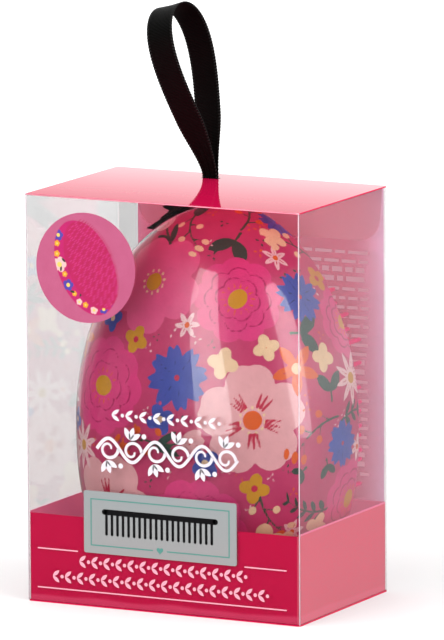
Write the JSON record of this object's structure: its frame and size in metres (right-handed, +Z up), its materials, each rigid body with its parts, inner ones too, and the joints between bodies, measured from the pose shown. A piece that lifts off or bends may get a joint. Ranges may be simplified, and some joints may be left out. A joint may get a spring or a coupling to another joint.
{
  "type": "boxed hairbrush",
  "caption": "Egg-shaped detangling hairbrush with a printed shell and a bed of bristles, in a clear folding carton with a hinged tuck lid and a ribbon loop.",
  "frame": {"origin": "middle of the carton's underside", "axes": "+Z up, +X right along the front wall, +Y from the front wall, which the dome faces, to the back wall, which the bristles face"},
  "size_m": [0.081, 0.0562, 0.1572],
  "materials": {
    "clear_film": "clear folded PET sheet, glossy",
    "crimson_film": "crimson print under glossy film",
    "lilac_print": "thin translucent lilac pink print under glossy film",
    "crimson_print": "crimson print under glossy film",
    "silver_label": "pale silver film with a faint rainbow sheen",
    "pink_paper": "printed pink sticker paper, satin",
    "black_satin": "black satin ribbon with a fine dotted selvage",
    "printed_shell": "glossy moulded shell with a flower print",
    "pink_nylon": "flexible moulded bristles and bed, hot pink"
  },
  "bodies": {
    "carton": {"carton_front": "clear_film", "carton_back": "clear_film", "carton_left": "clear_film", "carton_right": "clear_film", "glue_flap": "clear_film", "base_band": "crimson_print", "back_print": "lilac_print", "bottom_panel": "crimson_film", "bottom_tuck_flap": "crimson_film", "bottom_dust_left": "clear_film", "bottom_dust_right": "clear_film", "label_plate": "silver_label", "round_sticker": "pink_paper", "brush_shell": "printed_shell", "bristle_pad_1": "pink_nylon", "bristle_pad_2": "pink_nylon", "bristle_pad_3": "pink_nylon", "bristle_pad_4": "pink_nylon"},
    "lid": {"lid_panel": "crimson_film", "ribbon_knot": "black_satin"},
    "tuck": {"tuck_flap": "crimson_film"},
    "dust_left": {"dust_flap_left": "clear_film"},
    "dust_right": {"dust_flap_right": "clear_film"},
    "ribbon": {"ribbon_loop": "black_satin"}
  },
  "joints": [
    {"name": "lid_hinge", "type": "hinge", "parent": "carton", "child": "lid", "pos_m": [0, -0.0264, 0.10965], "axis": [1, 0, 0], "range_deg": [0, 120]},
    {"name": "tuck_crease", "type": "hinge", "parent": "lid", "child": "tuck", "pos_m": [0, 0.0251, 0.1096], "axis": [1, 0, 0], "range_deg": [-10, 0], "stiffness_Nm_per_rad": 0.004},
    {"name": "dust_left_crease", "type": "hinge", "parent": "carton", "child": "dust_left", "pos_m": [-0.04015, 0, 0.10955], "axis": [0, -1, 0], "range_deg": [0, 60]},
    {"name": "dust_right_crease", "type": "hinge", "parent": "carton", "child": "dust_right", "pos_m": [0.04015, 0, 0.10955], "axis": [0, 1, 0], "range_deg": [0, 60]},
    {"name": "ribbon_swing", "type": "hinge", "parent": "lid", "child": "ribbon", "pos_m": [-0.0081, 0.0186, 0.11055], "axis": [1, 0, 0], "range_deg": [-55, 55], "stiffness_Nm_per_rad": 0.002}
  ],
  "couplings": [
    {"joint": "dust_left_crease", "follows": "lid_hinge", "ratio": 0.5},
    {"joint": "dust_right_crease", "follows": "lid_hinge", "ratio": 0.5}
  ]
}
